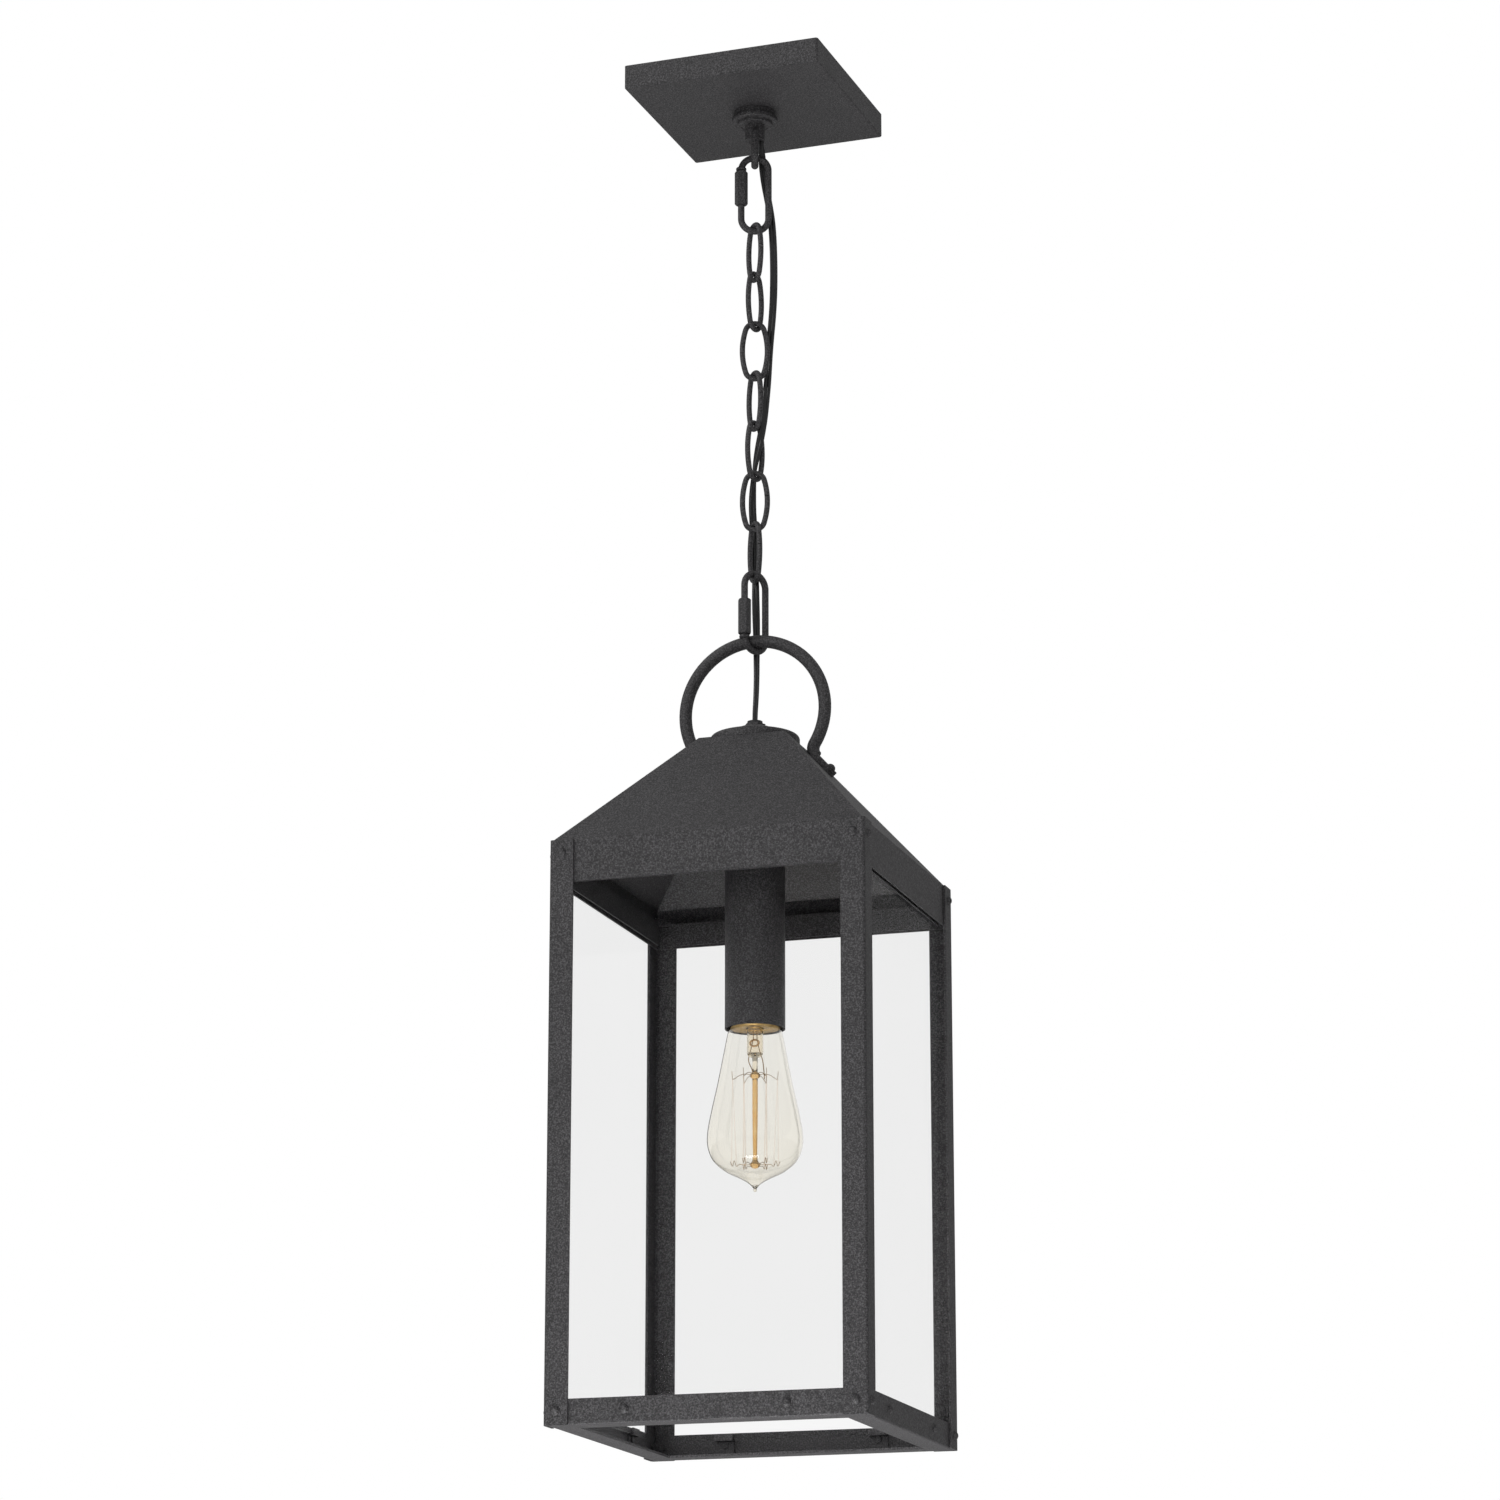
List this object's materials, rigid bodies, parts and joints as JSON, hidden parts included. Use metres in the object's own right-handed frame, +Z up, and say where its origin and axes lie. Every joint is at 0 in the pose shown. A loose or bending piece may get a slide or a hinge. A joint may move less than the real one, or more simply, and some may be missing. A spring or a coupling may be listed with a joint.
{
  "type": "hanging lantern",
  "caption": "Black four-sided hanging lantern with clear glass panes, open base, fixed ring, oval-link chain, twin cord, square ceiling canopy and squirrel-cage bulb.",
  "frame": {"origin": "centre of the ceiling face, on the top of the mounting strap midway between its two slots", "axes": "+Z up through the chain and the bulb, -Y out of the front pane, +X to the right of the front pane and along the mounting strap"},
  "size_m": [0.2044, 0.2044, 0.879],
  "materials": {
    "black_powder": "matt black powder coat with a fine speckle",
    "pane_glass": "clear, polished",
    "bulb_glass": "clear, faint amber tint",
    "stem_glass": "clear",
    "brass": "bright, slightly tarnished",
    "filament": "fine dull wire",
    "insulator": "black vitreous insulator",
    "zinc_steel": "zinc plated",
    "green_screw": "green ground screw",
    "cord": "smooth black flexible jacket",
    "bushing": "black nylon"
  },
  "bodies": {
    "ceiling_fixing": {"mounting_strap": "zinc_steel", "mounting_nipple": "zinc_steel", "nipple_locknuts": "zinc_steel", "ground_screw": "green_screw", "canopy_loop": "black_powder", "supply_cord": "cord"},
    "canopy_pan": {"canopy": "black_powder"},
    "collar": {"screw_collar": "black_powder"},
    "upper_link": {"quick_link_upper": "black_powder"},
    "upper_nut": {"quick_nut_upper": "black_powder"},
    "link_1": {"chain_link_1": "black_powder"},
    "link_2": {"chain_link_2": "black_powder"},
    "link_3": {"chain_link_3": "black_powder"},
    "link_4": {"chain_link_4": "black_powder"},
    "link_5": {"chain_link_5": "black_powder"},
    "link_6": {"chain_link_6": "black_powder"},
    "link_7": {"chain_link_7": "black_powder"},
    "lower_link": {"quick_link_lower": "black_powder"},
    "lower_nut": {"quick_nut_lower": "black_powder"},
    "bulb": {"bulb_cap": "brass", "bulb_contact": "brass", "bulb_filament": "filament", "bulb_glass": "bulb_glass", "bulb_insulator": "insulator", "bulb_neck_disc": "brass", "bulb_stem": "stem_glass", "bulb_supports": "filament"},
    "lantern": {"bottom_rail_back": "black_powder", "bottom_rail_front": "black_powder", "bottom_rail_left": "black_powder", "bottom_rail_right": "black_powder", "cap_nut": "black_powder", "clip_rivets": "black_powder", "cord_bushing": "bushing", "corner_post_back_left": "black_powder", "corner_post_back_right": "black_powder", "corner_post_front_left": "black_powder", "corner_post_front_right": "black_powder", "glass_channel_back": "black_powder", "glass_channel_front": "black_powder", "glass_channel_left": "black_powder", "glass_channel_right": "black_powder", "glass_clips": "black_powder", "glass_pane_back": "pane_glass", "glass_pane_front": "pane_glass", "glass_pane_left": "pane_glass", "glass_pane_right": "pane_glass", "hanging_ring": "black_powder", "lamp_lead": "cord", "lamp_pipe": "brass", "lampholder_body": "brass", "lampholder_contact": "brass", "lampholder_shell": "brass", "pipe_nuts": "zinc_steel", "post_rivets": "black_powder", "ring_rivets": "black_powder", "roof": "black_powder", "roof_cap": "black_powder", "socket_sleeve": "black_powder"}
  },
  "joints": [
    {"name": "canopy_drop", "type": "slide", "parent": "ceiling_fixing", "child": "canopy_pan", "axis": [0, 0, 1], "range_m": [-0.015, 0]},
    {"name": "collar_drop", "type": "slide", "parent": "ceiling_fixing", "child": "collar", "axis": [0, 0, 1], "range_m": [-0.015, 0]},
    {"name": "swing_upper_link", "type": "hinge", "parent": "ceiling_fixing", "child": "upper_link", "pos_m": [0, 0, -0.0523], "axis": [-0.3007, 0.9537, 0], "range_deg": [-15, 15], "deforming": ["supply_cord"]},
    {"name": "swing_link_1", "type": "hinge", "parent": "upper_link", "child": "link_1", "pos_m": [0, 0, -0.09865], "axis": [0.9537, 0.3007, 0], "range_deg": [-15, 15], "deforming": ["supply_cord"]},
    {"name": "swing_link_2", "type": "hinge", "parent": "link_1", "child": "link_2", "pos_m": [0, 0, -0.13225], "axis": [0.7254, -0.6884, 0], "range_deg": [-15, 15], "deforming": ["supply_cord"]},
    {"name": "swing_link_3", "type": "hinge", "parent": "link_2", "child": "link_3", "pos_m": [0, 0, -0.16625], "axis": [0.2419, 0.9703, 0], "range_deg": [-15, 15], "deforming": ["supply_cord"]},
    {"name": "swing_link_4", "type": "hinge", "parent": "link_3", "child": "link_4", "pos_m": [0, 0, -0.20025], "axis": [0.9537, 0.3007, 0], "range_deg": [-15, 15], "deforming": ["supply_cord"]},
    {"name": "swing_link_5", "type": "hinge", "parent": "link_4", "child": "link_5", "pos_m": [0, 0, -0.23425], "axis": [0.7071, -0.7071, 0], "range_deg": [-15, 15], "deforming": ["supply_cord"]},
    {"name": "swing_link_6", "type": "hinge", "parent": "link_5", "child": "link_6", "pos_m": [0, 0, -0.26825], "axis": [0.3007, 0.9537, 0], "range_deg": [-15, 15], "deforming": ["supply_cord"]},
    {"name": "swing_link_7", "type": "hinge", "parent": "link_6", "child": "link_7", "pos_m": [0, 0, -0.30225], "axis": [0.9914, 0.1305, 0], "range_deg": [-15, 15], "deforming": ["supply_cord"]},
    {"name": "swing_lower_link", "type": "hinge", "parent": "link_7", "child": "lower_link", "pos_m": [0, 0, -0.33625], "axis": [0.6361, -0.7716, 0], "range_deg": [-15, 15], "deforming": ["supply_cord"]},
    {"name": "swing_lantern", "type": "hinge", "parent": "lower_link", "child": "lantern", "pos_m": [0, 0, -0.38325], "axis": [0.5075, 0.8616, 0], "range_deg": [-15, 6], "deforming": ["supply_cord"]},
    {"name": "upper_nut_travel", "type": "slide", "parent": "upper_link", "child": "upper_nut", "axis": [0, 0, 1], "range_m": [-0.009, 0]},
    {"name": "lower_nut_travel", "type": "slide", "parent": "lower_link", "child": "lower_nut", "axis": [0, 0, 1], "range_m": [0, 0.009]},
    {"name": "bulb_release", "type": "slide", "parent": "lantern", "child": "bulb", "axis": [0, 0, 1], "range_m": [-0.04, 0]}
  ],
  "couplings": [
    {"joint": "collar_drop", "follows": "canopy_drop", "ratio": 1}
  ]
}
